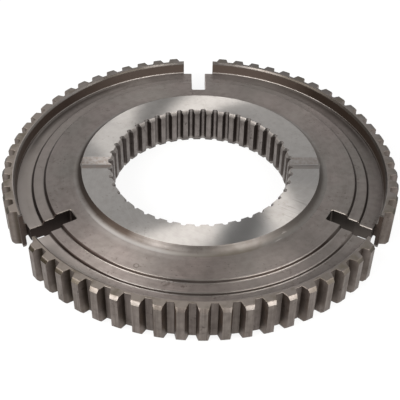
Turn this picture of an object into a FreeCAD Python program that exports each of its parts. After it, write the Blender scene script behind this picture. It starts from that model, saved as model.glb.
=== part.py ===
import FreeCAD, Part
import math
import os

# Synchroniser body of a gearbox: one steel forging, turned all over. Its splined bore sits on
# the gearbox shaft and its outer teeth carry the sliding sleeve.
# Lengths are in millimetres and angles in degrees. The body lies flat, its axis along +Z and
# its lower rim face on z = 0. Both sides are alike about the middle plane.

# Toothed rim
rim_height = 20.4
tooth_tip_radius = 96.5
tooth_depth = 4.1
tooth_root_width = 6.2
tooth_tip_width = 3.45
tip_chamfer_radial = 1.25
tip_chamfer_axial = 1.6
rim_wall = 2.0
rim_lip_radial = 0.55
rim_lip_axial = 1.0
rim_foot_chamfer = 0.7

# Web between rim and hub, in three terraces that get thinner outwards
inner_terrace_thickness = 13.6
middle_terrace_thickness = 10.2
outer_terrace_thickness = 7.4
middle_terrace_width = 5.3
outer_terrace_width = 7.2
terrace_step_run = 1.1

# Hub
hub_length = 19.4
hub_wall = 12.85
hub_edge_chamfer = 0.35
hub_fillet_radius = 3.3
hub_fillet_flats = 3

# Splined bore
spline_grooves = 44
first_groove_angle = 87.35
spline_tip_radius = 43.4
spline_depth = 2.35
groove_mouth_width = 3.7
groove_flank_angle = 22.0
groove_root_width = 1.2
groove_corner_depth = 0.75
bore_chamfer_radial = 1.1
bore_chamfer_axial = 2.0

# Key slots, each with teeth left out of the rim beside it
slot_count = 3
first_slot_angle = 90.0
teeth_between_slots = 19
teeth_out_per_slot = 2
notch_width = 16.4
notch_reach_past_rim = 1.5
slot_width = 7.5
web_before_slot = 9.8
slot_corner_radius = 1.0
slot_edge_chamfer = 0.5

# Shallow oil grooves straight across both faces of the hub
oil_groove_width = 9.0
oil_groove_depth = 1.2
oil_groove_angle = 0.0

# How far a cutting shape runs past what it cuts, and how closely two places must agree
overrun = 1.0
closeness = 0.01

tooth_root_radius = tooth_tip_radius - tooth_depth
rim_bore_radius = tooth_root_radius - rim_wall
spline_root_radius = spline_tip_radius + spline_depth
hub_radius = spline_root_radius + hub_wall
notch_floor_radius = rim_bore_radius - notch_reach_past_rim
slot_end_radius = hub_radius + web_before_slot
mid_plane = rim_height / 2
cutter_height = max(rim_height, hub_length) + 2 * overrun
cutter_base = mid_plane - cutter_height / 2
axis = FreeCAD.Vector(0, 0, 1)
centre = FreeCAD.Vector(0, 0, mid_plane)


def section_point(radius, height):
    """Point of the turned section, its height measured from the middle plane."""
    return FreeCAD.Vector(radius, 0, mid_plane + height)


def plan_point(along, across):
    """Point of a plan outline at the foot of the cutting shapes."""
    return FreeCAD.Vector(along, across, cutter_base)


def straight(*points):
    """Straight edges from each point to the next."""
    return [Part.makeLine(a, b) for a, b in zip(points, points[1:])]


def arc(start, middle, end):
    """Circular edge through three points."""
    return Part.Arc(start, middle, end).toShape()


def round_corner(start, corner, end):
    """Quarter circle that rounds off a square corner, touching both of its sides."""
    arc_centre = start + end - corner
    radius = (start - arc_centre).Length
    towards_corner = (corner - arc_centre).normalize()
    return arc(start, arc_centre + towards_corner * radius, end)


def turned_about_axis(shape, angle):
    """Copy of a shape, turned about the body's axis."""
    turned = shape.copy()
    turned.rotate(centre, axis, angle)
    return turned


def cutting_prism(edges):
    """Solid with the given plan that reaches past both sides of the body."""
    return Part.Face(Part.Wire(edges)).extrude(axis * cutter_height)


def slot_angle(index):
    """Angle of a key slot."""
    return first_slot_angle + index * 360 / slot_count


def hub_fillet():
    """Section points down the hub's fillet, on a circle that touches the web.

    The fillet starts at the hub's edge chamfer, or lower down the side of a tall hub."""
    inner_top = inner_terrace_thickness / 2
    side_foot = min(hub_length / 2 - hub_edge_chamfer, inner_top + hub_fillet_radius)
    sweep = math.acos(1 - (side_foot - inner_top) / hub_fillet_radius)
    web_start = hub_radius + hub_fillet_radius * math.sin(sweep)
    points = []
    for index in range(hub_fillet_flats + 1):
        turn = sweep * (1 - index / hub_fillet_flats)
        points.append(section_point(
            web_start - hub_fillet_radius * math.sin(turn),
            inner_top + hub_fillet_radius * (1 - math.cos(turn)),
        ))
    return points


def turned_blank():
    """Ring turned from the full section: bore, hub, terraced web, and rim up to the tooth tips."""
    hub_top = hub_length / 2
    rim_top = rim_height / 2
    inner_top = inner_terrace_thickness / 2
    middle_top = middle_terrace_thickness / 2
    outer_top = outer_terrace_thickness / 2
    outer_step_foot = rim_bore_radius - outer_terrace_width
    outer_step_head = outer_step_foot - terrace_step_run
    inner_step_foot = outer_step_head - middle_terrace_width
    inner_step_head = inner_step_foot - terrace_step_run
    hub_side = section_point(hub_radius, hub_top - hub_edge_chamfer)
    fillet = hub_fillet()
    if fillet[0].z < hub_side.z:
        fillet.insert(0, hub_side)

    upper = Part.makePolygon([
        section_point(spline_tip_radius, 0),
        section_point(spline_tip_radius, hub_top - bore_chamfer_axial),
        section_point(spline_tip_radius + bore_chamfer_radial, hub_top),
        section_point(hub_radius - hub_edge_chamfer, hub_top),
        *fillet,
        section_point(inner_step_head, inner_top),
        section_point(inner_step_foot, middle_top),
        section_point(outer_step_head, middle_top),
        section_point(outer_step_foot, outer_top),
        section_point(rim_bore_radius - rim_foot_chamfer, outer_top),
        section_point(rim_bore_radius, outer_top + rim_foot_chamfer),
        section_point(rim_bore_radius, rim_top - rim_lip_axial),
        section_point(rim_bore_radius + rim_lip_radial, rim_top),
        section_point(tooth_tip_radius - tip_chamfer_radial, rim_top),
        section_point(tooth_tip_radius, rim_top - tip_chamfer_axial),
        section_point(tooth_tip_radius, 0),
    ])
    lower = upper.mirror(centre, axis)
    section = Part.Face(Part.Wire(Part.sortEdges(upper.Edges + lower.Edges)[0]))
    return section.revolve(centre, axis, 360)


def key_slot():
    """Cutting shape of one slot along +X: parallel sides, and an inner end with round corners."""
    half = slot_width / 2
    outer = tooth_tip_radius + overrun
    inner_side = slot_end_radius + slot_corner_radius
    end_half = half - slot_corner_radius
    edges = straight(
        plan_point(inner_side, half),
        plan_point(outer, half),
        plan_point(outer, -half),
        plan_point(inner_side, -half),
    )
    edges.append(round_corner(
        plan_point(inner_side, -half),
        plan_point(slot_end_radius, -half),
        plan_point(slot_end_radius, -end_half),
    ))
    edges += straight(
        plan_point(slot_end_radius, -end_half),
        plan_point(slot_end_radius, end_half),
    )
    edges.append(round_corner(
        plan_point(slot_end_radius, end_half),
        plan_point(slot_end_radius, half),
        plan_point(inner_side, half),
    ))
    return cutting_prism(edges)


def rim_notch():
    """Cutting shape of the wide notch that parts the rim over one slot, along +X."""
    half = notch_width / 2
    outer = tooth_tip_radius + overrun
    return cutting_prism(straight(
        plan_point(notch_floor_radius, -half),
        plan_point(outer, -half),
        plan_point(outer, half),
        plan_point(notch_floor_radius, half),
        plan_point(notch_floor_radius, -half),
    ))


def slot_mouth_edges(body):
    """Edges where the faces of the web meet the walls of the key slots."""
    chosen = []
    for index in range(slot_count):
        turn_back = FreeCAD.Rotation(axis, -slot_angle(index))
        for edge in body.Edges:
            start = edge.valueAt(edge.FirstParameter)
            end = edge.valueAt(edge.LastParameter)
            middle = edge.valueAt((edge.FirstParameter + edge.LastParameter) / 2)
            place = turn_back.multVec(middle)
            upright = math.hypot(end.x - start.x, end.y - start.y) < closeness
            between_walls = abs(place.y) < slot_width / 2 + closeness
            beyond_end = place.x > slot_end_radius - closeness
            before_notch = place.x < notch_floor_radius - closeness
            if between_walls and beyond_end and before_notch and not upright:
                chosen.append(edge)
    return chosen


def with_key_slots(body):
    """Body with its slots and notches cut and the mouths of the slots chamfered."""
    slot = key_slot()
    notch = rim_notch()
    cutters = []
    for index in range(slot_count):
        cutters.append(turned_about_axis(slot, slot_angle(index)))
        cutters.append(turned_about_axis(notch, slot_angle(index)))
    slotted = body.cut(cutters)
    return slotted.makeChamfer(slot_edge_chamfer, slot_mouth_edges(slotted))


def toothed_prism():
    """Prism with the plan of the toothed rim: straight flanks standing on the root circle."""
    places_per_slot = teeth_between_slots + teeth_out_per_slot
    divisions = slot_count * places_per_slot
    first_tooth = (teeth_out_per_slot + 1) / 2
    root_half = tooth_root_width / 2
    tip_half = tooth_tip_width / 2
    root_reach = math.sqrt(tooth_root_radius ** 2 - root_half ** 2)
    tip_reach = math.sqrt(tooth_tip_radius ** 2 - tip_half ** 2)
    lean = (root_half - tip_half) / (tip_reach - root_reach)
    outer_reach = tip_reach + overrun
    outer_half = tip_half - lean * overrun
    tooth = [
        plan_point(root_reach, -root_half),
        plan_point(outer_reach, -outer_half),
        plan_point(outer_reach, outer_half),
        plan_point(root_reach, root_half),
    ]
    teeth = []
    for slot_index in range(slot_count):
        for place in range(teeth_between_slots):
            angle = slot_angle(slot_index) + (first_tooth + place) * 360 / divisions
            turn = FreeCAD.Rotation(axis, angle)
            teeth.append([turn.multVec(point) for point in tooth])

    edges = []
    for this_tooth, next_tooth in zip(teeth, teeth[1:] + teeth[:1]):
        edges += straight(*this_tooth)
        gap_start = this_tooth[-1]
        gap_end = next_tooth[0]
        between = gap_start + gap_end
        stretch = tooth_root_radius / math.hypot(between.x, between.y)
        gap_middle = plan_point(between.x * stretch, between.y * stretch)
        edges.append(arc(gap_start, gap_middle, gap_end))
    return cutting_prism(edges)


def spline_cutters():
    """Cutting shapes of the bore's grooves: straight flanks, and a root with eased corners."""
    mouth_half = groove_mouth_width / 2
    root_half = groove_root_width / 2
    lean = math.tan(math.radians(groove_flank_angle))
    flank_end = spline_root_radius - groove_corner_depth
    flank_end_half = mouth_half - (flank_end - spline_tip_radius) * lean
    inner = spline_tip_radius - overrun
    inner_half = mouth_half + overrun * lean
    groove = cutting_prism(straight(
        plan_point(inner, inner_half),
        plan_point(inner, -inner_half),
        plan_point(flank_end, -flank_end_half),
        plan_point(spline_root_radius, -root_half),
        plan_point(spline_root_radius, root_half),
        plan_point(flank_end, flank_end_half),
        plan_point(inner, inner_half),
    ))
    pitch = 360 / spline_grooves
    return [
        turned_about_axis(groove, first_groove_angle + index * pitch)
        for index in range(spline_grooves)
    ]


def oil_groove_cutters():
    """Cutting shapes of the V grooves across the upper and the lower face of the hub."""
    reach = hub_radius + hub_fillet_radius
    face = hub_length / 2
    half = oil_groove_width / 2 * (1 + overrun / oil_groove_depth)
    outline = Part.makePolygon([
        FreeCAD.Vector(-reach, 0, mid_plane + face - oil_groove_depth),
        FreeCAD.Vector(-reach, half, mid_plane + face + overrun),
        FreeCAD.Vector(-reach, -half, mid_plane + face + overrun),
        FreeCAD.Vector(-reach, 0, mid_plane + face - oil_groove_depth),
    ])
    groove = Part.Face(outline).extrude(FreeCAD.Vector(2 * reach, 0, 0))
    upper = turned_about_axis(groove, oil_groove_angle)
    return [upper, upper.mirror(centre, axis)]


def synchroniser_body():
    """The whole body as one solid."""
    body = with_key_slots(turned_blank())
    body = body.common(toothed_prism())
    body = body.cut(spline_cutters() + oil_groove_cutters())
    return body.removeSplitter()


os.makedirs("parts", exist_ok=True)
synchroniser_body().exportStep("parts/synchroniser_body.step")
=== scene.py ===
import math

import bmesh
import bpy
import numpy as np
from mathutils import Matrix, Vector


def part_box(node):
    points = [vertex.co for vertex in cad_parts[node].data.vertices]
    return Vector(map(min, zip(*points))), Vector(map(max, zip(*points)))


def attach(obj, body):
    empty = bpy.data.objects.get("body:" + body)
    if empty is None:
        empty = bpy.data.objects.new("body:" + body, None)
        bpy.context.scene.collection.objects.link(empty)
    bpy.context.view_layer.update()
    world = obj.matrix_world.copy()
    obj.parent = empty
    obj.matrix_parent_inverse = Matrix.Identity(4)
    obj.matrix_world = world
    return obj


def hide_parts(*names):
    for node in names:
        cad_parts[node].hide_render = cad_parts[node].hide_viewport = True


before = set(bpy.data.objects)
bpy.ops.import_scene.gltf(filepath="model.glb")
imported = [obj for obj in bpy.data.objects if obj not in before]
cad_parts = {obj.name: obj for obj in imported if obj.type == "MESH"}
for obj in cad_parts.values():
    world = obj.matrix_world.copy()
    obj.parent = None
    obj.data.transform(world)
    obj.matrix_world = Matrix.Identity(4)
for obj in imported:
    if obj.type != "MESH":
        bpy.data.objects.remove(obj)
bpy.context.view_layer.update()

# The camera stands in front of the ring and looks down on it at about 41 degrees.
# The picture is a very little off level, and the ring is turned a very little in it.
# Its aim is a point in front of the bore, in the plane of the rim's upper face.
lowest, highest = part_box("synchroniser_body")
height = highest.z
camera_elevation = math.radians(41.431)
camera_turn = math.radians(-1.559)
camera_roll = math.radians(1.135)
camera_distance = 0.3959
focal_length_mm = 76.3
sensor_width_mm = 36
aim = Vector((0.000075, -0.028227, height))
turn = Matrix.Rotation(camera_turn, 4, "Z")
back_off = Vector((0, -math.cos(camera_elevation), math.sin(camera_elevation)))
camera = bpy.data.objects.new("camera", bpy.data.cameras.new("camera"))
camera.data.sensor_width = sensor_width_mm
camera.data.lens = focal_length_mm
camera.matrix_world = (
    Matrix.Translation(turn @ (aim + back_off * camera_distance))
    @ turn
    @ Matrix.Rotation(math.pi / 2 - camera_elevation, 4, "X")
    @ Matrix.Rotation(camera_roll, 4, "Z")
)
bpy.context.scene.collection.objects.link(camera)
bpy.context.scene.camera = camera
bpy.context.scene.view_settings.view_transform = "Standard"


# The hub is the thick ring in the middle. Its bore is broached with the grooves of a spline
# and chamfered at both ends. Both of its faces are ground, with an oil groove straight across,
# and a turned fillet leads down from its edge to the web.
middle = height / 2
hub_top = 0.0199
groove_count = 44
first_groove = math.radians(87.35)
spline_tip = 0.0434
spline_root = 0.04575
mouth_half_width = 0.00185
flank_end = 0.0450
flank_end_half_width = 0.0012
tip_point_share = 0.8
bore_chamfer_width = 0.0011
bore_chamfer_length = 0.0020
hub_radius = 0.0586
hub_edge_chamfer = 0.00035
hub_fillet = 0.0050
fillet_points = 12
inner_terrace = 0.0170
hub_border = 0.0640
oil_groove_half_width = 0.0045
oil_groove_depth = 0.0012
clear_of_oil_groove = np.radians([20, 160, 200, 340])
ring_beside_spline = 0.0008


def polar(radius, angle, level):
    """Points at a radius, an angle about the axis and a level, from arrays that broadcast."""
    radius, angle, level = np.broadcast_arrays(radius, angle, level)
    return np.stack([radius * np.cos(angle), radius * np.sin(angle), level], -1)


def lower_side(grid):
    """The same grid on the other side: each level is measured down from the upper plane."""
    return grid * [1, 1, -1] + [0, 0, height]


def closed_piece(name, grids, materials):
    """Mesh from grids of points with the index of each grid's material.

    Four neighbours in a grid make a face. Grids that meet share their edge points, which are
    merged, so that the piece is one closed shell. An edge sharper than 30 degrees stays crisp."""
    points = []
    faces = []
    slots = []
    count = 0
    for grid, slot in grids:
        rows, columns = grid.shape[:2]
        index = count + np.arange(rows * columns).reshape(rows, columns)
        corners = [index[:-1, :-1], index[1:, :-1], index[1:, 1:], index[:-1, 1:]]
        quads = np.stack(corners, -1).reshape(-1, 4)
        points.append(grid.reshape(-1, 3))
        faces.append(quads)
        slots.append(np.full(len(quads), slot, np.int32))
        count += rows * columns
    mesh = bpy.data.meshes.new(name)
    mesh.from_pydata(np.concatenate(points).tolist(), [], np.concatenate(faces).tolist())
    mesh.polygons.foreach_set("material_index", np.concatenate(slots))
    shell = bmesh.new()
    shell.from_mesh(mesh)
    bmesh.ops.remove_doubles(shell, verts=shell.verts, dist=1e-6)
    bmesh.ops.dissolve_degenerate(shell, edges=shell.edges, dist=1e-7)
    rims = [edge for edge in shell.edges if edge.is_boundary]
    bmesh.ops.holes_fill(shell, edges=rims, sides=0)
    bmesh.ops.recalc_face_normals(shell, faces=shell.faces)
    shell.to_mesh(mesh)
    shell.free()
    for material in materials:
        mesh.materials.append(material)
    mesh.shade_smooth()
    crisp = math.radians(30)
    mesh.set_sharp_from_angle(angle=crisp)
    piece = bpy.data.objects.new(name, mesh)
    bpy.context.scene.collection.objects.link(piece)
    return piece


def groove_outline():
    """Angles and radii of the bore's outline, all the way round.

    One groove is half an ellipse at its root and straight flanks that open towards the bore,
    and half a tooth tip lies on the tip circle each side of it."""
    sweep = np.radians(np.linspace(-90, 90, 9))
    across = flank_end_half_width * np.sin(sweep)
    along = flank_end + (spline_root - flank_end) * np.cos(sweep)
    mouth_along = math.sqrt(spline_tip ** 2 - mouth_half_width ** 2)
    share = np.array([0.0, 0.35, 0.7])
    flank_along = mouth_along + (flank_end - mouth_along) * share
    flank_across = mouth_half_width + (flank_end_half_width - mouth_half_width) * share
    along = np.concatenate([flank_along, along, flank_along[::-1]])
    across = np.concatenate([-flank_across, across, flank_across[::-1]])
    angle = np.arctan2(across, along)
    radius = np.hypot(along, across)
    half_pitch = math.pi / groove_count
    beside_mouth = half_pitch * tip_point_share
    angle = np.concatenate([[-half_pitch, -beside_mouth], angle, [beside_mouth]])
    radius = np.concatenate([[spline_tip, spline_tip], radius, [spline_tip]])
    centres = first_groove + 2 * np.arange(groove_count) * half_pitch
    angles = (centres[:, None] + angle).ravel() % (2 * math.pi)
    order = np.argsort(angles)
    angles = angles[order]
    radii = np.tile(radius, groove_count)[order]
    before = [angles[-1] - 2 * math.pi]
    after = [angles[0] + 2 * math.pi]
    angles = np.concatenate([before, angles, after])
    radii = np.concatenate([[radii[-1]], radii, [radii[0]]])
    return angles, radii


def oil_groove_angles(radius):
    """Angles at which the oil groove's edges and its bottom cross circles of these radii."""
    edge = np.arcsin(oil_groove_half_width / np.asarray(radius))
    right = [0, edge[0]]
    left = [math.pi - edge[1], math.pi, math.pi + edge[2]]
    return [*right, *left, 2 * math.pi - edge[3], 2 * math.pi]


def oil_groove_level(points):
    """Level of the oil groove's floor: it rises in proportion to the distance from the middle."""
    return hub_top - oil_groove_depth * (1 - np.abs(points[..., 1]) / oil_groove_half_width)


# The oil groove's edges meet the bore's outline where the angles and the radii agree, which a few
# rounds of working out each from the other bring about.
outline_angles, outline_radii = groove_outline()
edge_radii = np.full(4, spline_tip)
rounds = 8
for _ in range(rounds):
    edge_angles = np.array(oil_groove_angles(edge_radii))
    edge_radii = np.interp(edge_angles[[1, 2, 4, 5]], outline_angles, outline_radii)
bore_angles = np.unique(np.concatenate([
    outline_angles[(outline_angles > 0) & (outline_angles < 2 * math.pi)],
    edge_angles,
]))
bore_radii = np.interp(bore_angles, outline_angles, outline_radii)

# The chamfer is a cone up to the face, or up to the oil groove where that lies lower.
chamfer_slope = bore_chamfer_length / bore_chamfer_width
chamfer_foot = hub_top - bore_chamfer_length
face_radii = np.maximum(bore_radii, spline_tip + bore_chamfer_width)
up_the_cone = np.minimum(bore_radii, face_radii.min()) - spline_tip
chamfer_levels = chamfer_foot + up_the_cone * chamfer_slope
groove_floor = oil_groove_level(polar(face_radii, bore_angles, hub_top))
in_groove = groove_floor < hub_top
cut_radii = spline_tip + (groove_floor - chamfer_foot) / chamfer_slope
face_radii = np.where(in_groove, np.maximum(bore_radii, cut_radii), face_radii)
edge_knots = np.sort(np.concatenate([edge_angles, clear_of_oil_groove]))


def hub_rows(radii, levels):
    """Rings of points on the hub. Their columns run beside the oil groove, parallel to it."""
    rings = []
    for radius, level in zip(radii, levels):
        knots = np.concatenate([oil_groove_angles(np.full(4, radius)), clear_of_oil_groove])
        angles = np.interp(bore_angles, edge_knots, np.sort(knots))
        rings.append(polar(radius, angles, level))
    rings = np.stack(rings)
    rings[..., 2] = np.minimum(rings[..., 2], oil_groove_level(rings))
    return rings


# The fillet is an arc that touches the web's inner terrace and ends at the hub's edge chamfer.
fillet_sweep = math.acos(1 - (hub_top - hub_edge_chamfer - inner_terrace) / hub_fillet)
fillet_turns = np.linspace(fillet_sweep, 0, fillet_points)
fillet_foot = hub_radius + hub_fillet * math.sin(fillet_sweep)
fillet_radii = fillet_foot - hub_fillet * np.sin(fillet_turns)
fillet_levels = inner_terrace + hub_fillet * (1 - np.cos(fillet_turns))
ground_radii = np.array([
    spline_root + ring_beside_spline,
    (spline_root + hub_radius) / 2,
    hub_radius - hub_edge_chamfer,
])

bore_wall = np.stack([
    polar(bore_radii, bore_angles, middle),
    polar(bore_radii, bore_angles, np.minimum(chamfer_levels, groove_floor)),
    polar(face_radii, bore_angles, np.minimum(hub_top, groove_floor)),
])
ground_face = np.concatenate([bore_wall[-1:], hub_rows(ground_radii, np.full(3, hub_top))])
fillet_side = hub_rows(
    np.concatenate([ground_radii[-1:], fillet_radii, [hub_border]]),
    np.concatenate([[hub_top], fillet_levels, [inner_terrace]]),
)
hub_core = np.stack([fillet_side[-1], fillet_side[-1] * [1, 1, 0] + [0, 0, middle]])


def add(tree, kind, sockets=None, **settings):
    """Node with its settings, and with each named or numbered socket set to a value or linked."""
    node = tree.nodes.new("ShaderNode" + kind)
    for name, value in settings.items():
        setattr(node, name, value)
    for name, value in (sockets or {}).items():
        if isinstance(value, bpy.types.NodeSocket):
            tree.links.new(value, node.inputs[name])
        else:
            node.inputs[name].default_value = value
    return node


def math_of(tree, operation, first, second=0.0):
    """Result of one sum on numbers or sockets."""
    return add(tree, "Math", {0: first, 1: second}, operation=operation).outputs[0]


def times(tree, first, second):
    """Product of two numbers or sockets."""
    return math_of(tree, "MULTIPLY", first, second)


def larger(tree, first, second):
    """The larger of two numbers or sockets."""
    return math_of(tree, "MAXIMUM", first, second)


def rest_of(tree, share):
    """What a share leaves of 1."""
    return math_of(tree, "SUBTRACT", 1.0, share)


def apart(tree, first, second):
    """How far apart two numbers or sockets are: their difference without its sign."""
    return math_of(tree, "ABSOLUTE", math_of(tree, "SUBTRACT", first, second))


def vector_of(tree, operation, first, second=(0, 0, 0)):
    """Result of one sum on vectors."""
    return add(tree, "VectorMath", {0: first, 1: second}, operation=operation).outputs["Vector"]


def number_of(tree, operation, first, second=(0, 0, 0)):
    """Number that one sum on vectors gives, such as a length or a distance."""
    return add(tree, "VectorMath", {0: first, 1: second}, operation=operation).outputs["Value"]


def scaled(tree, direction, by):
    """Vector made longer or shorter by a number."""
    node = add(tree, "VectorMath", {0: direction, "Scale": by}, operation="SCALE")
    return node.outputs["Vector"]


def swung(tree, direction, angle):
    """Vector turned about the axis by an angle in radians."""
    sockets = {"Vector": direction, "Angle": angle}
    return add(tree, "VectorRotate", sockets, rotation_type="Z_AXIS").outputs[0]


def fitted(tree, value, start, end, at_start, at_end):
    """A value's place between two limits, on a new range and never outside it."""
    sockets = {"Value": value, 1: start, 2: end, 3: at_start, 4: at_end}
    return add(tree, "MapRange", sockets).outputs[0]


def blended(tree, share, first, second):
    """Colour between two colours."""
    node = add(tree, "Mix", {"Factor": share}, data_type="RGBA")
    for socket, colour in ((node.inputs[6], first), (node.inputs[7], second)):
        if isinstance(colour, bpy.types.NodeSocket):
            tree.links.new(colour, socket)
        else:
            socket.default_value = (*colour, 1)
    return node.outputs[2]


def place_on_ring(tree):
    """Sockets for where a point of the surface is and how it faces.

    They are its position, the outward and the round-about direction, its distance from the axis,
    its level and its normal."""
    position = add(tree, "TexCoord").outputs["Object"]
    flat = vector_of(tree, "MULTIPLY", position, (1, 1, 0))
    outward = vector_of(tree, "NORMALIZE", flat)
    around = vector_of(tree, "CROSS_PRODUCT", (0, 0, 1), outward)
    radius = number_of(tree, "LENGTH", flat)
    level = add(tree, "SeparateXYZ", {0: position}).outputs["Z"]
    normal = add(tree, "NewGeometry").outputs["Normal"]
    return position, outward, around, radius, level, normal


def noise(tree, position, scale, detail=3.0):
    """Noise between 0 and 1 at a place, with its number of changes in a metre."""
    sockets = {"Vector": position, "Scale": scale, "Detail": detail}
    return add(tree, "TexNoise", sockets).outputs["Fac"]


def streaks(tree, sideways, fineness, climb, detail=3.0):
    """Noise drawn out in streaks.

    It changes finely with a direction square to the axis, and along the axis with a number."""
    upwards = add(tree, "CombineXYZ", {"Z": climb}).outputs[0]
    where = vector_of(tree, "ADD", scaled(tree, sideways, fineness), upwards)
    return noise(tree, where, 1.0, detail)


def ring_marks(tree, outward, radius, level):
    """Marks of a lathe: they change finely with radius plus level, and slowly round about."""
    climb = times(tree, math_of(tree, "ADD", radius, level), 1500.0)
    return streaks(tree, outward, 1.5, climb, 4.0)


def cosine(tree, first, second):
    """Cosine of the angle between two directions."""
    return number_of(tree, "DOT_PRODUCT", first, second)


def dot(tree, first, second):
    """Cosine of the angle between two directions, without its sign."""
    return math_of(tree, "ABSOLUTE", cosine(tree, first, second))


def new_steel(name, anisotropy):
    """A metal without its colour: returns it with its node tree and its shader."""
    material = bpy.data.materials.new(name)
    material.use_nodes = True
    shader = material.node_tree.nodes["Principled BSDF"]
    shader.inputs["Metallic"].default_value = 1
    shader.inputs["Anisotropic"].default_value = anisotropy
    return material, material.node_tree, shader


def weathered(tree, position, plain, stained, pitted):
    """Colour of bare steel: stained in broad blotches, dark in a fine mottle and in small pits."""
    cloud = noise(tree, position, 42.0, 5.0)
    tone = blended(tree, fitted(tree, cloud, 0.38, 0.66, 0.0, 1.0), plain, stained)
    mottle = fitted(tree, noise(tree, position, 330.0, 5.0), 0.42, 0.68, 0.0, 0.3)
    tone = blended(tree, mottle, tone, pitted)
    speck = noise(tree, position, 760.0, 1.0)
    patch = noise(tree, position, 110.0, 2.0)
    specks_in_patches = math_of(tree, "ADD", speck, times(tree, patch, 0.6))
    spots = fitted(tree, specks_in_patches, 0.98, 1.08, 0.0, 0.6)
    return blended(tree, spots, tone, pitted)


def towards(tree, outward, bearing, spread, soft=0.5):
    """Share that is 1 at a bearing round the axis and falls to 0 a spread away, both in degrees.

    It falls over the soft part of the spread. Bearing 0 is at the right and 90 at the back."""
    middle_way = (math.cos(math.radians(bearing)), math.sin(math.radians(bearing)), 0)
    edge = math.cos(math.radians(spread))
    full = math.cos(math.radians(spread * (1 - soft)))
    return fitted(tree, cosine(tree, outward, middle_way), edge, full, 0.0, 1.0)


def scratched(tree, position, spot, bearing, reach):
    """Share of thin scratches along a bearing in degrees.

    They are noise drawn out along it, and thin out to none at a reach from a spot."""
    along = swung(tree, position, math.radians(-bearing))
    drawn_out = vector_of(tree, "MULTIPLY", along, (60.0, 900.0, 60.0))
    lines = fitted(tree, noise(tree, drawn_out, 1.0, 2.0), 0.54, 0.62, 0.0, 1.0)
    away = number_of(tree, "DISTANCE", position, spot)
    return times(tree, lines, fitted(tree, away, reach * 0.4, reach, 1.0, 0.0))


def finish_steel(tree, shader, tone, gloss, relief, depth, tangent=None, tilt=None):
    """Colour, roughness, fine relief of a depth in metres, and the way square to the tool marks.

    The marks of a lathe are like a saw's teeth, so their light falls as on a face tilted a little
    one way."""
    tree.links.new(tone, shader.inputs["Base Color"])
    tree.links.new(gloss, shader.inputs["Roughness"])
    bump = add(tree, "Bump", {"Height": relief, "Distance": depth, "Strength": 1.0})
    faced = bump.outputs["Normal"]
    if tilt is not None:
        faced = vector_of(tree, "NORMALIZE", vector_of(tree, "ADD", faced, tilt))
    tree.links.new(faced, shader.inputs["Normal"])
    if tangent is not None:
        tree.links.new(tangent, shader.inputs["Tangent"])


# Broached bore: straight marks along the axis, with worn bright ends, dark oxide and painted
# shade on the grooves' flanks, most of all at the back, and painted shade on faces that look down
up = (0, 0, 1)
down = (0, 0, -1)
# The oxide's colour also serves as painted shade on faces that look down.
oxide_and_shade = (0.03, 0.021, 0.018)
bore_steel, tree, shader = new_steel("broached_steel", 0.5)
position, outward, around, radius, level, normal = place_on_ring(tree)
tone = weathered(tree, position, (0.258, 0.23, 0.217), (0.212, 0.19, 0.178), oxide_and_shade)
marks = streaks(tree, outward, 150.0, times(tree, level, 30.0))
tone = blended(tree, fitted(tree, marks, 0.42, 0.7, 0.0, 0.5), tone, (0.08, 0.068, 0.06))
worn_end = fitted(tree, apart(tree, level, middle), 0.0077, 0.0083, 0.0, 0.6)
tone = blended(tree, worn_end, tone, (0.36, 0.335, 0.315))
# The grooves' flanks get dark oxide and painted shade.
flank = fitted(tree, dot(tree, normal, around), 0.2, 0.55, 0.0, 0.9)
flank = times(tree, flank, rest_of(tree, worn_end))
at_back = times(tree, math_of(tree, "ADD", towards(tree, outward, 82, 78), 1.2), 0.455)
tone = blended(tree, times(tree, flank, at_back), tone, (0.045, 0.034, 0.029))
# Painted shade on faces that look down
painted_shade_below = fitted(tree, cosine(tree, normal, down), 0.2, 0.4, 0.0, 0.8)
tone = blended(tree, painted_shade_below, tone, oxide_and_shade)
gloss = fitted(tree, marks, 0.3, 0.7, 0.42, 0.52)
tangent = vector_of(tree, "CROSS_PRODUCT", normal, up)
finish_steel(tree, shader, tone, gloss, marks, depth=0.00002, tangent=tangent)

# Ground face: the wheel leaves fine arcs, which lean from the way round by 33 degrees at the bore,
# 26 degrees half way and 19 degrees at the edge. Along one arc the angle about the axis plus
# log(sin(lean)) stays the same.
ground_steel, tree, shader = new_steel("ground_steel", 1.0)
position, outward, around, radius, level, normal = place_on_ring(tree)
half_way = 0.052
half_way_lean = math.radians(26)
log_radius = math_of(tree, "LOGARITHM", math_of(tree, "DIVIDE", radius, half_way), math.e)
lean = math_of(tree, "SUBTRACT", log_radius, half_way_lean)
sine_of_lean = math_of(tree, "ABSOLUTE", math_of(tree, "SINE", lean))
along_arc = swung(tree, outward, math_of(tree, "LOGARITHM", sine_of_lean, math.e))
arcs = streaks(tree, along_arc, 120.0, times(tree, radius, 60.0), 6.0)
tone = weathered(tree, position, (0.426, 0.404, 0.387), (0.395, 0.376, 0.361), (0.29, 0.27, 0.25))
tone = blended(tree, fitted(tree, arcs, 0.35, 0.7, 0.0, 0.18), tone, (0.285, 0.277, 0.262))
# The oil groove: its wall that faces the back gets painted shade, and it holds a little rust.
near_wall_shade = fitted(tree, cosine(tree, normal, (0, 1, 0)), 0.1, 0.2, 0.0, 0.7)
tone = blended(tree, near_wall_shade, tone, (0.17, 0.16, 0.147))
in_groove = fitted(tree, dot(tree, normal, up), 0.975, 0.995, 1.0, 0.0)
rust = fitted(tree, noise(tree, position, 700.0, 4.0), 0.35, 0.7, 0.1, 0.8)
tone = blended(tree, times(tree, in_groove, rust), tone, (0.24, 0.185, 0.155))
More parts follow.
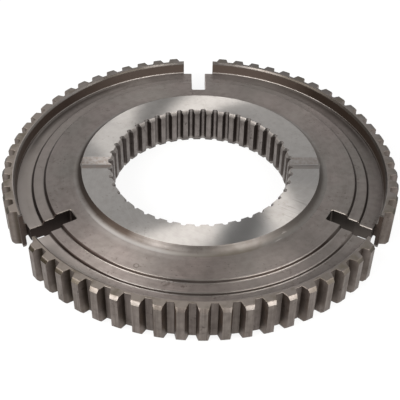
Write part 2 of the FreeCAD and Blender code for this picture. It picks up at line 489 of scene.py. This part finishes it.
# Scratches at the front right, and three places painted darker as the dark reflection between
# the lamps' highlights
scratches = (0.0435, -0.0335, hub_top)
rubbed_and_highlight = scratched(tree, position, scratches, bearing=-33, reach=0.009)
tone = blended(tree, times(tree, rubbed_and_highlight, 0.5), tone, (0.2, 0.19, 0.18))
painted_dark_reflection = times(tree, towards(tree, outward, 292, 17), 0.8)
painted_dark_reflection = larger(tree, painted_dark_reflection, times(tree, towards(tree, outward, 157, 24), 0.28))
painted_dark_reflection = larger(tree, painted_dark_reflection, times(tree, towards(tree, outward, 353, 14), 0.35))
tone = blended(tree, painted_dark_reflection, tone, (0.24, 0.236, 0.232))
# At the left the light falls as if the arcs leaned up to 14 degrees more.
steeper = times(tree, towards(tree, outward, 172, 26), math.radians(-14))
square_to_arc = swung(tree, outward, math_of(tree, "ADD", lean, steeper))
gloss = fitted(tree, arcs, 0.3, 0.7, 0.47, 0.53)
finish_steel(tree, shader, tone, gloss, arcs, depth=0.000006, tangent=square_to_arc)

# Turned flat faces: fine rings all the way round, painted a little lighter and warmer at the front
turned_steel, tree, shader = new_steel("turned_steel", 0.85)
position, outward, around, radius, level, normal = place_on_ring(tree)
pitted = (0.095, 0.076, 0.065)
painted_light_in_front = towards(tree, outward, 270, 16, 0.8)
plain = blended(tree, painted_light_in_front, (0.226, 0.195, 0.182), (0.29, 0.242, 0.222))
stained = blended(tree, painted_light_in_front, (0.2, 0.183, 0.168), (0.255, 0.218, 0.2))
tone = weathered(tree, position, plain, stained, pitted)
rings = ring_marks(tree, outward, radius, level)
tone = blended(tree, fitted(tree, rings, 0.4, 0.7, 0.0, 0.3), tone, (0.155, 0.136, 0.125))
smudge = noise(tree, position, 90.0, 4.0)
uneven = fitted(tree, smudge, 0.3, 0.6, 0.6, 1.0)
# Painted light at the left, on the outer terrace and more faintly on the middle one
painted_light = (0.36, 0.322, 0.297)
outer = times(tree, fitted(tree, radius, 0.0821, 0.0831, 0.0, 1.0), uneven)
tone = blended(tree, times(tree, towards(tree, outward, 190, 46), outer), tone, painted_light)
past_inner_step = fitted(tree, radius, 0.0762, 0.077, 0.0, 0.4)
before_outer_step = fitted(tree, radius, 0.0818, 0.0822, 1.0, 0.0)
between = times(tree, past_inner_step, before_outer_step)
tone = blended(tree, times(tree, between, towards(tree, outward, 175, 46)), tone, painted_light)
# Painted highlight beside the fillet at the front left
painted_highlight_by_fillet = fitted(tree, radius, 0.064, 0.0658, 0.35, 0.0)
painted_highlight_by_fillet = times(tree, painted_highlight_by_fillet, towards(tree, outward, 238, 34))
tone = blended(tree, painted_highlight_by_fillet, tone, (0.36, 0.33, 0.31))
# Painted shade: a dark reflection of the rim's wall on the outer terrace at the back right, and
# darker places that dim the lamps' highlights at the front right and the back right
stain_and_shade = times(tree, times(tree, towards(tree, outward, 46, 22), outer), 0.55)
tone = blended(tree, stain_and_shade, tone, (0.09, 0.075, 0.067))
shade_on_highlights = larger(tree, towards(tree, outward, 294, 26), towards(tree, outward, 60, 20))
shade_on_highlights = times(tree, shade_on_highlights, times(tree, uneven, 0.56))
tone = blended(tree, shade_on_highlights, tone, (0.1, 0.088, 0.082))
# Painted bands beside the rim's wall: its dark reflection at the back left and the back right, and
# painted light at the left
painted_dark_band = larger(tree, towards(tree, outward, 143, 30), towards(tree, outward, 34, 28))
painted_dark_band = times(tree, painted_dark_band, fitted(tree, radius, 0.0855, 0.0878, 0.0, 0.75))
painted_dark_band = times(tree, painted_dark_band, fitted(tree, radius, 0.0884, 0.0891, 1.0, 0.0))
tone = blended(tree, painted_dark_band, tone, (0.07, 0.058, 0.05))
painted_light_band = fitted(tree, radius, 0.0855, 0.0885, 0.0, 0.5)
painted_light_band = times(tree, towards(tree, outward, 198, 20), painted_light_band)
tone = blended(tree, painted_light_band, tone, (0.5, 0.45, 0.42))
# Dark line along the border of the rim's top at the front left
rim_border = fitted(tree, radius, 0.0906, 0.0908, 0.0, 0.9)
rim_border = times(tree, rim_border, towards(tree, outward, 222, 32))
tone = blended(tree, rim_border, tone, (0.04, 0.032, 0.026))
# Small dark ring on the inner terrace
ring_mark = (-0.0289, -0.0675, inner_terrace)
ring_mark_radius = 0.0011
off_ring = apart(tree, number_of(tree, "DISTANCE", position, ring_mark), ring_mark_radius)
tone = blended(tree, fitted(tree, off_ring, 0.0001, 0.0004, 0.6, 0.0), tone, (0.08, 0.066, 0.056))
gloss = fitted(tree, smudge, 0.3, 0.7, 0.46, 0.54)
tangent = vector_of(tree, "CROSS_PRODUCT", normal, around)
tilt = scaled(tree, outward, fitted(tree, radius, 0.0625, 0.068, 0.0, 0.18))
finish_steel(tree, shader, tone, gloss, rings, depth=0.00001, tangent=tangent, tilt=tilt)

# Turned fillets, steps and walls: smoother than the flat faces, with brown oxide on upright walls
fillet_steel, tree, shader = new_steel("fillet_steel", 0.4)
shader.inputs["Specular IOR Level"].default_value = 0.2
position, outward, around, radius, level, normal = place_on_ring(tree)
tone = weathered(tree, position, (0.205, 0.188, 0.179), (0.18, 0.165, 0.151), pitted)
rings = ring_marks(tree, outward, radius, level)
tone = blended(tree, fitted(tree, rings, 0.4, 0.7, 0.0, 0.3), tone, (0.155, 0.136, 0.122))
smudge = noise(tree, position, 90.0, 4.0)
flat = dot(tree, normal, up)
from_middle = apart(tree, level, middle)
on_rim = fitted(tree, radius, 0.0893, 0.0896, 0.0, 1.0)
off_rim = rest_of(tree, on_rim)
off_hub = fitted(tree, radius, 0.066, 0.068, 0.0, 1.0)
# Steep places are where the oxide stays. The heads of the web's two steps count as steeper than
# they are, but for the front, and the rim's wall counts as less steep. At the back the steps have
# nearly none.
inner_step_head = 0.0760
outer_step_head = 0.0820
past_inner = apart(tree, radius, inner_step_head)
past_outer = apart(tree, radius, outer_step_head)
from_head = math_of(tree, "MINIMUM", past_inner, past_outer)
at_head = fitted(tree, from_head, 0.0005, 0.0008, 0.3, 0.0)
at_head = times(tree, at_head, rest_of(tree, towards(tree, outward, 276, 44, 0.3)))
counted_flat = math_of(tree, "SUBTRACT", flat, at_head)
counted_flat = math_of(tree, "ADD", counted_flat, times(tree, on_rim, 0.2))
steep = times(tree, fitted(tree, counted_flat, 0.58, 0.7, 0.95, 0.0), off_hub)
steep = times(tree, steep, fitted(tree, from_middle, 0.0089, 0.0093, 1.0, 0.0))
faint = times(tree, times(tree, towards(tree, outward, 90, 84, 0.18), off_rim), 0.92)
steep = times(tree, steep, rest_of(tree, faint))
# The rim's wall is brown, darkest at the right, and the steps are dark lines that fade in front.
brown = blended(tree, towards(tree, outward, 20, 50), (0.03, 0.019, 0.014), (0.014, 0.007, 0.003))
brown = blended(tree, towards(tree, outward, 93, 48), brown, (0.075, 0.056, 0.046))
line = blended(tree, towards(tree, outward, 275, 40), oxide_and_shade, (0.06, 0.046, 0.039))
line = blended(tree, towards(tree, outward, 270, 18, 0.7), line, (0.125, 0.105, 0.097))
line = blended(tree, towards(tree, outward, 330, 14), line, (0.055, 0.046, 0.04))
on_outer_step = fitted(tree, radius, 0.080, 0.081, 0.0, 1.0)
fading = times(tree, on_outer_step, towards(tree, outward, 315, 22))
line = blended(tree, fading, line, (0.105, 0.089, 0.08))
# The steps' eased edges get a painted highlight at the back and painted shade at the front left.
edge_highlight = times(tree, fitted(tree, flat, 0.9, 0.99, 1.0, 0.0), off_hub)
edge_highlight = times(tree, edge_highlight, times(tree, towards(tree, outward, 85, 60), off_rim))
tone = blended(tree, edge_highlight, tone, (0.36, 0.32, 0.3))
edge_shade = times(tree, fitted(tree, flat, 0.9, 0.99, 0.8, 0.0), off_hub)
edge_shade = times(tree, edge_shade, times(tree, towards(tree, outward, 212, 28), off_rim))
tone = blended(tree, edge_shade, tone, (0.08, 0.07, 0.062))
tone = blended(tree, steep, tone, blended(tree, on_rim, line, brown))
# The rim's lip gets painted shade at the right and the back left. Its foot gets a painted highlight
# at the back and painted shade at both sides.
lip = times(tree, on_rim, fitted(tree, from_middle, 0.0089, 0.0093, 0.0, 0.95))
lip_shade = larger(tree, towards(tree, outward, 26, 42, 0.25), towards(tree, outward, 118, 13))
tone = blended(tree, times(tree, lip, lip_shade), tone, (0.05, 0.043, 0.036))
rim_foot = times(tree, on_rim, fitted(tree, from_middle, 0.0050, 0.0060, 1.0, 0.0))
rim_foot = times(tree, rim_foot, fitted(tree, flat, 0.5, 0.7, 0.0, 1.0))
rim_foot_highlight = times(tree, rim_foot, towards(tree, outward, 90, 34))
tone = blended(tree, rim_foot_highlight, tone, (0.5, 0.46, 0.43))
rim_foot_shade = larger(tree, towards(tree, outward, 184, 30), towards(tree, outward, 10, 34))
tone = blended(tree, times(tree, rim_foot, rim_foot_shade), tone, (0.05, 0.04, 0.034))
rusted = times(tree, times(tree, steep, on_rim), 0.85)
tree.links.new(rest_of(tree, rusted), shader.inputs["Metallic"])
# The hub's fillet: painted shade at the right, a painted highlight at its foot at the front left,
# and painted shade where it is steep at the left and the right
right_shade = times(tree, towards(tree, outward, 330, 42), 0.6)
in_fillet = fitted(tree, radius, 0.062, 0.066, 1.0, 0.0)
tone = blended(tree, times(tree, right_shade, in_fillet), tone, (0.13, 0.122, 0.112))
fillet_foot_highlight = fitted(tree, flat, 0.86, 0.97, 0.0, 0.75)
fillet_foot_highlight = times(tree, fillet_foot_highlight, towards(tree, outward, 242, 34))
tone = blended(tree, times(tree, fillet_foot_highlight, in_fillet), tone, (0.45, 0.425, 0.405))
shaded_sides = larger(tree, towards(tree, outward, 191, 59, 0.25), right_shade)
painted_fillet_shade = times(tree, fitted(tree, flat, 0.78, 0.975, 0.97, 0.0), shaded_sides)
painted_fillet_shade = times(tree, painted_fillet_shade, fitted(tree, radius, 0.062, 0.064, 1.0, 0.0))
tone = blended(tree, painted_fillet_shade, tone, (0.035, 0.026, 0.021))
# A dull olive band above the fillet's foot and bright scratches, both in front
foot = fitted(tree, radius, 0.0598, 0.062, 0.0, 0.6)
foot = times(tree, foot, fitted(tree, radius, 0.0625, 0.064, 1.0, 0.0))
tone = blended(tree, times(tree, foot, towards(tree, outward, 276, 24)), tone, (0.12, 0.1, 0.075))
scratches = (0.0368, -0.0508, inner_terrace)
rubbed_and_highlight = scratched(tree, position, scratches, bearing=34, reach=0.0048)
tone = blended(tree, times(tree, rubbed_and_highlight, 0.6), tone, (0.5, 0.47, 0.44))
on_fillet = fitted(tree, radius, 0.064, 0.066, 0.1, 0.0)
gloss = math_of(tree, "ADD", fitted(tree, smudge, 0.3, 0.7, 0.36, 0.44), on_fillet)
tangent = vector_of(tree, "CROSS_PRODUCT", normal, around)
finish_steel(tree, shader, tone, gloss, rings, depth=0.00001, tangent=tangent)

level_enough = math.cos(math.radians(8))


def part_slopes(piece, flat_slot, slope_slot):
    """Faces of one slot that lean more than 8 degrees from level go to another slot."""
    faces = piece.data.polygons
    normals = np.empty(len(faces) * 3)
    slots = np.empty(len(faces), np.int32)
    faces.foreach_get("normal", normals)
    faces.foreach_get("material_index", slots)
    leaning = np.abs(normals.reshape(-1, 3)[:, 2]) < level_enough
    slots[leaning & (slots == flat_slot)] = slope_slot
    faces.foreach_set("material_index", slots)


hub_grids = []
for grid, slot in ((bore_wall, 0), (ground_face, 1), (fillet_side, 2), (hub_core, 2)):
    hub_grids.append((grid, slot))
    hub_grids.append((lower_side(grid), slot))
hub = closed_piece("splined_hub", hub_grids, [bore_steel, ground_steel, turned_steel, fillet_steel])
part_slopes(hub, flat_slot=2, slope_slot=3)
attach(hub, "root")
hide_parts("synchroniser_body")


# The web is the thin ring between the hub and the toothed rim. It is turned in three terraces
# that step down outwards, and three slots for the sliding keys are milled through it.
middle_terrace = 0.0153
outer_terrace = 0.0139
rim_bore = 0.0904
notch_floor = 0.0889
notch_half_width = 0.0082
inner_step_foot = inner_step_head + 0.0009
outer_step_foot = outer_step_head + 0.0007
step_ease = 0.0006
slot_angles = np.radians([90, 210, 330])
slot_end = 0.0684
slot_half_width = 0.00375
slot_corner = 0.0010
slot_chamfer = 0.0003
web_columns = 72
ring_before_slots = 0.0014
strip_before_notch = 0.0006


def eased(corners, eases, steps=4):
    """Profile through corners, with each inner corner B rounded between A and C on its sides.

    A and C lie the corner's ease length away from B. The curve is (1-t)^2 A + 2t(1-t) B + t^2 C.
    One more point close beside A and C keeps the flat faces flat where the light is smoothed."""
    beside = 0.00004
    corners = np.asarray(corners, float)
    share = np.linspace(0, 1, steps + 1)[:, None]
    parts = [corners[:1]]
    for before, corner, after, ease in zip(corners, corners[1:], corners[2:], eases):
        back = (before - corner) / np.linalg.norm(before - corner)
        on = (after - corner) / np.linalg.norm(after - corner)
        start = corner + back * ease
        end = corner + on * ease
        curve = (1 - share) ** 2 * start + 2 * share * (1 - share) * corner + share ** 2 * end
        parts += [start[None] + back * beside, curve, end[None] + on * beside]
    parts.append(corners[-1:])
    return np.concatenate(parts)


def turned(grid, angle):
    """The same grid turned about the axis."""
    across = [-math.sin(angle), math.cos(angle), 0]
    along = [math.cos(angle), math.sin(angle), 0]
    return grid[..., :1] * along + grid[..., 1:2] * across + grid[..., 2:] * [0, 0, 1]


# The web is worked out for the slot that points along +X and the third of a turn after it. A
# slot's mouth is wider than the slot by its chamfer all round.
mouth_half = slot_half_width + slot_chamfer
mouth_end = slot_end - slot_chamfer
mouth_corner = slot_corner + slot_chamfer
side_start = math.hypot(mouth_end + mouth_corner, mouth_half)
end_ring = mouth_end - ring_before_slots
third_turn = 2 * math.pi / 3
notch_start = math.atan2(mouth_half, notch_floor)
notch_corner = math.atan2(notch_half_width, notch_floor)

# Profile of the three terraces, from the slots' inner corners out to the notches
terraces = eased([
    (side_start, inner_terrace),
    (inner_step_head, inner_terrace),
    (inner_step_foot, middle_terrace),
    (outer_step_head, middle_terrace),
    (outer_step_foot, outer_terrace),
    (notch_floor - strip_before_notch, outer_terrace),
], [step_ease] * 4)

# Places along an arc from slot to slot, as shares of it, with a point at each notch's corner
full = third_turn - 2 * notch_start
corner_share = (notch_corner - notch_start) / full
shares = np.unique(np.concatenate([
    [0, corner_share / 2, corner_share, 1 - corner_share, 1 - corner_share / 2, 1],
    np.linspace(corner_share, 1 - corner_share, web_columns),
]).round(9))


def web_row(radius, level):
    """Arc between two slots, from one slot's side to the next one's.

    Each end lies in its own slot's side, parallel to that slot's middle plane."""
    edge = math.asin(mouth_half / radius)
    return polar(radius, edge + (third_turn - 2 * edge) * shares, level)


# The web's outer edge follows the notch's flat floor, whose radius is its distance from the axis
# divided by the cosine of the angle from the slot, and beyond the notch's corners a circle.
web_sector = np.stack([web_row(radius, level) for radius, level in terraces])
side_angle = math.asin(mouth_half / side_start)
from_slot = notch_start + full * shares
from_slot = np.minimum(from_slot, third_turn - from_slot)
notch_radii = notch_floor / np.cos(np.minimum(from_slot, notch_corner))
notch_row = polar(notch_radii, notch_start + full * shares, outer_terrace)
web_outside = np.stack([web_sector[-1], notch_row, notch_row * [1, 1, 0] + [0, 0, middle]])

sector_start = polar(end_ring, side_angle + (third_turn - 2 * side_angle) * shares, inner_terrace)
sector_inside = np.stack([sector_start, web_sector[0]])


def slot_end_path(inset):
    """Way round a slot's inner end: across its flat end, with a quarter circle at each side."""
    quarter = np.radians(np.linspace(0, 90, 6))
    radius = mouth_corner - inset
    along = mouth_end + mouth_corner - radius * np.sin(quarter)
    across = mouth_half - mouth_corner + radius * np.cos(quarter)
    flat_points = 3
    flat = np.linspace(-1, 1, flat_points + 2)[1:-1] * (mouth_half - mouth_corner)
    along = np.concatenate([along, np.full(flat_points, mouth_end + inset), along[::-1]])
    across = np.concatenate([-across, flat, across[::-1]])
    return along, across


# The patch between the slot's inner end and the circle before it
end_along, end_across = slot_end_path(0)
end_mouth = np.stack([end_along, end_across, np.full(end_along.shape, inner_terrace)], -1)
end_angles = np.linspace(-side_angle, side_angle, len(end_along))
end_start = polar(end_ring, end_angles, inner_terrace)
end_patch = np.stack([end_start, end_mouth])

# The mouth runs in along one side of the slot, round its inner end and out along the other. The
# wall goes down from it over the chamfer, and then straight down to the middle plane.
side_mouth = np.concatenate([web_sector[:, 0], notch_row[:1]])
other_side = (side_mouth * [1, -1, 1])[::-1]
mouth = np.concatenate([other_side[:-1], end_mouth, side_mouth[1:]])
wall_along, wall_across = slot_end_path(slot_chamfer)
wall_top = mouth - [0, 0, slot_chamfer]
ends = slice(len(other_side) - 1, len(other_side) - 1 + len(end_mouth))
wall_top[:, 1] = np.sign(mouth[:, 1]) * slot_half_width
wall_top[ends, 0] = wall_along
wall_top[ends, 1] = wall_across
slot_wall = np.stack([mouth, wall_top, wall_top * [1, 1, 0] + [0, 0, middle]])
floor_strip = np.stack([
    np.stack([mouth[-1], mouth[-1] * [1, 1, 0] + [0, 0, middle]]),
    np.stack([wall_top[-1], wall_top[-1] * [1, 1, 0] + [0, 0, middle]]),
])

# The inside of the web, a cylinder up to the terrace and the terrace out to the slots
between_slots = side_angle + (third_turn - 2 * side_angle) * shares
third_angles = np.concatenate([end_angles[:-1], between_slots[:-1]])
ring_angles = np.concatenate([angle + third_angles for angle in slot_angles])
ring_angles = np.append(ring_angles, ring_angles[0] + 2 * math.pi)
web_inside = np.stack([
    polar(hub_border, ring_angles, middle),
    polar(hub_border, ring_angles, inner_terrace),
    polar(end_ring, ring_angles, inner_terrace),
])

web_grids = []
whole = [web_inside]
third = [sector_inside, web_sector, web_outside, end_patch, slot_wall]
third += [floor_strip, floor_strip * [1, -1, 1]]
for angle in slot_angles:
    whole += [turned(grid, angle) for grid in third]
for grid in whole:
    web_grids.append((grid, 0))
    web_grids.append((lower_side(grid), 0))
web = closed_piece("terraced_web", web_grids, [turned_steel, fillet_steel])
part_slopes(web, flat_slot=0, slope_slot=1)
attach(web, "root")
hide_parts("synchroniser_body")


# The toothed rim carries the sliding sleeve. It is parted into three by the notches over the
# slots, and each third has 19 hobbed teeth with chamfered ends.
tooth_tip = -lowest.y
tooth_depth = 0.0041
tooth_root = tooth_tip - tooth_depth
tooth_root_half_width = 0.0031
tooth_tip_half_width = 0.001725
tooth_chamfer_width = 0.00125
tooth_chamfer_length = 0.0016
teeth_per_third = 19
tooth_places = 63
pitch = 2 * math.pi / tooth_places
first_place = 1.5
foot_ease = 0.0007
lip_width = 0.00055
lip_length = 0.0010
lip_ease = 0.0002
top_border_width = 0.001
edge_break = 0.0001


def tooth_outline(inset):
    """Radii and angles of the teeth's outline over a third of the rim, pulled in by an inset.

    A tooth has straight flanks from the root circle up to the tip circle."""
    root_half = tooth_root_half_width - inset
    tip_half = tooth_tip_half_width - inset
    root = tooth_root - inset
    tip = tooth_tip - inset
    root_reach = math.sqrt(root ** 2 - root_half ** 2)
    tip_reach = math.sqrt(tip ** 2 - tip_half ** 2)
    share = np.array([0, 0.25, 0.5, 0.69, 0.85, 1])
    along = root_reach + (tip_reach - root_reach) * share
    across = root_half + (tip_half - root_half) * share
    flank_angle = np.arctan2(across, along)
    flank_radius = np.hypot(along, across)
    angle = np.concatenate([-flank_angle, [0], flank_angle[::-1]])
    radius = np.concatenate([flank_radius, [tip], flank_radius[::-1]])
    gap_points = 3
    gap_angle = np.linspace(flank_angle[0], pitch - flank_angle[0], gap_points + 2)[1:-1]
    angle = np.concatenate([angle, gap_angle])
    radius = np.concatenate([radius, np.full(gap_points, root)])
    places = (first_place + np.arange(teeth_per_third)) * pitch
    angles = (places[:, None] + angle).ravel()[:-gap_points]
    radii = np.tile(radius, teeth_per_third)[:-gap_points]
    land = places[0] - flank_angle[0]
    side = math.asin(notch_half_width / root)
    land_points = 3
    lands = np.linspace(side, land, land_points + 1)[:-1]
    land_radii = np.full(land_points, root)
    angles = np.concatenate([lands, angles, third_turn - lands[::-1]])
    radii = np.concatenate([land_radii, radii, land_radii])
    return radii, angles


# The chamfer of the teeth's ends is a cone: the level falls as the radius passes its upper circle.
outline_radius, outline_angle = tooth_outline(0)
top_radius, top_angle = tooth_outline(edge_break)
cone_top = tooth_tip - tooth_chamfer_width
cone_slope = tooth_chamfer_width / tooth_chamfer_length
cone_level = height - np.maximum(outline_radius - cone_top, 0) / cone_slope
rim_inside = eased([
    (notch_floor / math.cos(notch_corner), outer_terrace),
    (rim_bore, outer_terrace),
    (rim_bore, height - lip_length),
    (rim_bore + lip_width, height),
    (rim_bore + top_border_width, height),
], [foot_ease, lip_ease, lip_ease])


def rim_row(radius, level):
    """Arc along the rim, between two planes parallel to the slots' middle planes."""
    edge = math.asin(notch_half_width / radius)
    angles = outline_angle.copy()
    angles[0] = edge
    angles[-1] = third_turn - edge
    return polar(radius, angles, level)


inner_rows = np.stack([rim_row(radius, level) for radius, level in rim_inside])
break_level = height - edge_break
broken_edge = cone_top + edge_break * cone_slope
outer_rows = np.stack([
    inner_rows[-1],
    polar(np.minimum(top_radius, cone_top - edge_break / 2), top_angle, height),
    polar(np.minimum(outline_radius, broken_edge), outline_angle, break_level),
    polar(outline_radius, outline_angle, np.minimum(cone_level, break_level)),
    polar(outline_radius, outline_angle, middle),
])
rim_core = np.stack([inner_rows[0] * [1, 1, 0] + [0, 0, middle], inner_rows[0]])
rim_grids = []
for angle in slot_angles:
    for grid, slot in ((rim_core, 0), (inner_rows, 0), (outer_rows, 1)):
        rim_grids.append((turned(grid, angle), slot))
        rim_grids.append((lower_side(turned(grid, angle)), slot))

# Hobbed teeth: marks up and down, brown oxide and painted shade on the flanks, painted shade at the
# roots and on faces that look down, and olive stains on the flat tops
hobbed_steel, tree, shader = new_steel("hobbed_steel", 0.0)
position, outward, around, radius, level, normal = place_on_ring(tree)
tone = weathered(tree, position, (0.214, 0.184, 0.168), (0.184, 0.16, 0.141), oxide_and_shade)
flat = dot(tree, normal, up)
level_top = fitted(tree, flat, 0.9, 0.98, 0.0, 1.0)
at_left = towards(tree, outward, 215, 95)
top_tone = blended(tree, at_left, (0.16, 0.142, 0.132), (0.23, 0.198, 0.174))
tone = blended(tree, level_top, tone, top_tone)
marks = streaks(tree, outward, 110.0, times(tree, level, 45.0), 4.0)
off_top = rest_of(tree, level_top)
scored = times(tree, fitted(tree, marks, 0.4, 0.66, 0.0, 0.65), off_top)
tone = blended(tree, scored, tone, (0.105, 0.086, 0.075))
# Painted shade near the roots of the teeth
root_shade = fitted(tree, radius, 0.0925, 0.0928, 0.35, 0.0)
tone = blended(tree, times(tree, root_shade, off_top), tone, (0.1, 0.082, 0.074))
# Painted shade on faces that look down
painted_shade_under = fitted(tree, cosine(tree, normal, down), 0.2, 0.45, 0.0, 0.85)
tone = blended(tree, times(tree, painted_shade_under, off_top), tone, oxide_and_shade)
# Flanks: rust and painted shade, less where they face the front, and oxide and painted shade
# darkest beside the roots, above all at the left
flanks = fitted(tree, dot(tree, normal, around), 0.5, 0.85, 0.0, 1.0)
shade_away_from_front = fitted(tree, cosine(tree, normal, (0, -1, 0)), 0.4, 0.85, 0.85, 0.1)
rust = fitted(tree, noise(tree, position, 210.0, 4.0), 0.48, 0.66, 0.0, 0.8)
flank_tone = blended(tree, rust, (0.125, 0.097, 0.084), (0.14, 0.092, 0.058))
tone = blended(tree, times(tree, flanks, shade_away_from_front), tone, flank_tone)
# Oxide and painted shade in the corners beside the roots, most at the left
corner = times(tree, fitted(tree, radius, 0.0932, 0.0947, 0.75, 0.0), flanks)
corner = times(tree, corner, fitted(tree, radius, 0.0921, 0.0924, 0.0, 1.0))
to_left = fitted(tree, cosine(tree, outward, (1, 0, 0)), -0.5, 0.8, 1.0, 0.3)
tone = blended(tree, times(tree, corner, to_left), tone, (0.05, 0.038, 0.026))
# Chamfered ends: painted highlights at two places in front, dirty elsewhere, and caked at the left
cone = fitted(tree, flat, 0.5, 0.56, 0.0, 1.0)
cone = times(tree, cone, fitted(tree, flat, 0.68, 0.74, 1.0, 0.0))
right_highlight = times(tree, towards(tree, outward, 286, 11), 0.68)
left_highlight = times(tree, towards(tree, outward, 249, 9), 0.88)
rubbed_and_highlight = larger(tree, right_highlight, left_highlight)
tone = blended(tree, times(tree, cone, rubbed_and_highlight), tone, (0.33, 0.3, 0.28))
dirt = blended(tree, towards(tree, outward, 268, 60), (0.045, 0.04, 0.033), (0.115, 0.1, 0.085))
dirty = math_of(tree, "SUBTRACT", 0.95, towards(tree, outward, 268, 34))
tone = blended(tree, times(tree, cone, dirty), tone, dirt)
caked = times(tree, cone, towards(tree, outward, 219, 24, 0.7))
tone = blended(tree, caked, tone, (0.019, 0.015, 0.01))
# Flat tops: greyer at the back right, and stained in spots
outer_top = times(tree, fitted(tree, radius, 0.0928, 0.0945, 0.0, 0.4), level_top)
outer_top = times(tree, outer_top, towards(tree, outward, 60, 100))
tone = blended(tree, outer_top, tone, (0.09, 0.085, 0.08))
grey_top = times(tree, times(tree, towards(tree, outward, 58, 34), level_top), 0.5)
tone = blended(tree, grey_top, tone, (0.08, 0.072, 0.067))
stain_and_shade = fitted(tree, noise(tree, position, 170.0, 4.0), 0.45, 0.68, 0.0, 0.7)
tone = blended(tree, times(tree, stain_and_shade, flat), tone, (0.1, 0.085, 0.062))
gloss = fitted(tree, stain_and_shade, 0.0, 0.7, 0.46, 0.58)
finish_steel(tree, shader, tone, gloss, marks, depth=0.00002)
rim = closed_piece("toothed_rim", rim_grids, [turned_steel, hobbed_steel, fillet_steel])
part_slopes(rim, flat_slot=0, slope_slot=2)
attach(rim, "root")
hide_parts("synchroniser_body")


# The floor is a plain pale table top, far larger than the picture.
floor_size = 3.0
floor_corners = floor_size * np.array([[-1, -1, 0], [1, -1, 0], [1, 1, 0], [-1, 1, 0]])
floor_mesh = bpy.data.meshes.new("floor")
floor_mesh.from_pydata(floor_corners.tolist(), [], [(0, 1, 2, 3)])
floor = bpy.data.objects.new("floor", floor_mesh)
bpy.context.scene.collection.objects.link(floor)
pale = bpy.data.materials.new("pale_floor")
pale.use_nodes = True
tree = pale.node_tree
tree.nodes.clear()
# What looks at it, straight or in a reflection, sees it for the most part as plain white.
white_share = 0.85
rays = add(tree, "LightPath")
seen = larger(tree, rays.outputs["Is Camera Ray"], rays.outputs["Is Glossy Ray"])
seen = larger(tree, seen, rays.outputs["Is Transmission Ray"])
lit = add(tree, "BsdfDiffuse", {"Color": (0.9, 0.9, 0.9, 1)})
white = add(tree, "Emission", {"Color": (1, 1, 1, 1), "Strength": 1.0})
share = times(tree, seen, white_share)
surface = add(tree, "MixShader", {0: share, 1: lit.outputs[0], 2: white.outputs[0]})
add(tree, "OutputMaterial", {"Surface": surface.outputs[0]})
floor_mesh.materials.append(pale)


# Two soft lamps stand low in front, at the left and the right of the camera, and an even pale
# surround fills in the rest.
lamp_distance = 0.8
lamp_colour = (1.0, 0.975, 0.945)


def soft_lamp(name, bearing, elevation, across, upright, power):
    """Soft lamp at a bearing and an elevation in degrees, facing the ring.

    Its way from the ring is the unit vector of those two angles."""
    data = bpy.data.lights.new(name, "AREA")
    data.shape = "RECTANGLE"
    data.size = across
    data.size_y = upright
    data.energy = power
    data.color = lamp_colour
    lamp = bpy.data.objects.new(name, data)
    rise = math.radians(elevation)
    way = Vector(polar(math.cos(rise), math.radians(bearing), math.sin(rise)))
    facing = way.to_track_quat("Z", "Y").to_matrix().to_4x4()
    lamp.matrix_world = Matrix.Translation(way * lamp_distance) @ facing
    bpy.context.scene.collection.objects.link(lamp)


soft_lamp("left_lamp", bearing=212, elevation=36, across=0.72, upright=0.46, power=8.5)
soft_lamp("right_lamp", bearing=315, elevation=36, across=0.52, upright=0.46, power=4.9)

# The surround is white to the camera. Reflections see it dimmer in a wedge in front, between the
# lamps, and all its other light is even.
wedge_slope = 1.55
wedge_light = 0.07
even_light = 0.7
world = bpy.data.worlds.new("surround")
world.use_nodes = True
tree = world.node_tree
rays = add(tree, "LightPath")
seen = larger(tree, rays.outputs["Is Glossy Ray"], rays.outputs["Is Transmission Ray"])
direction = add(tree, "TexCoord").outputs["Generated"]
parts = add(tree, "SeparateXYZ", {0: direction}).outputs
aside = times(tree, math_of(tree, "ABSOLUTE", parts["X"]), wedge_slope)
between_lamps = math_of(tree, "SUBTRACT", times(tree, parts["Y"], -1.0), aside)
mirrored = times(tree, seen, fitted(tree, between_lamps, 0.0, 0.12, 1.0, wedge_light))
plain_light = times(tree, rest_of(tree, seen), even_light)
strength = math_of(tree, "ADD", mirrored, plain_light)
strength = larger(tree, strength, rays.outputs["Is Camera Ray"])
tree.links.new(strength, tree.nodes["Background"].inputs["Strength"])
tree.nodes["Background"].inputs["Color"].default_value = (1, 1, 1, 1)
bpy.context.scene.world = world
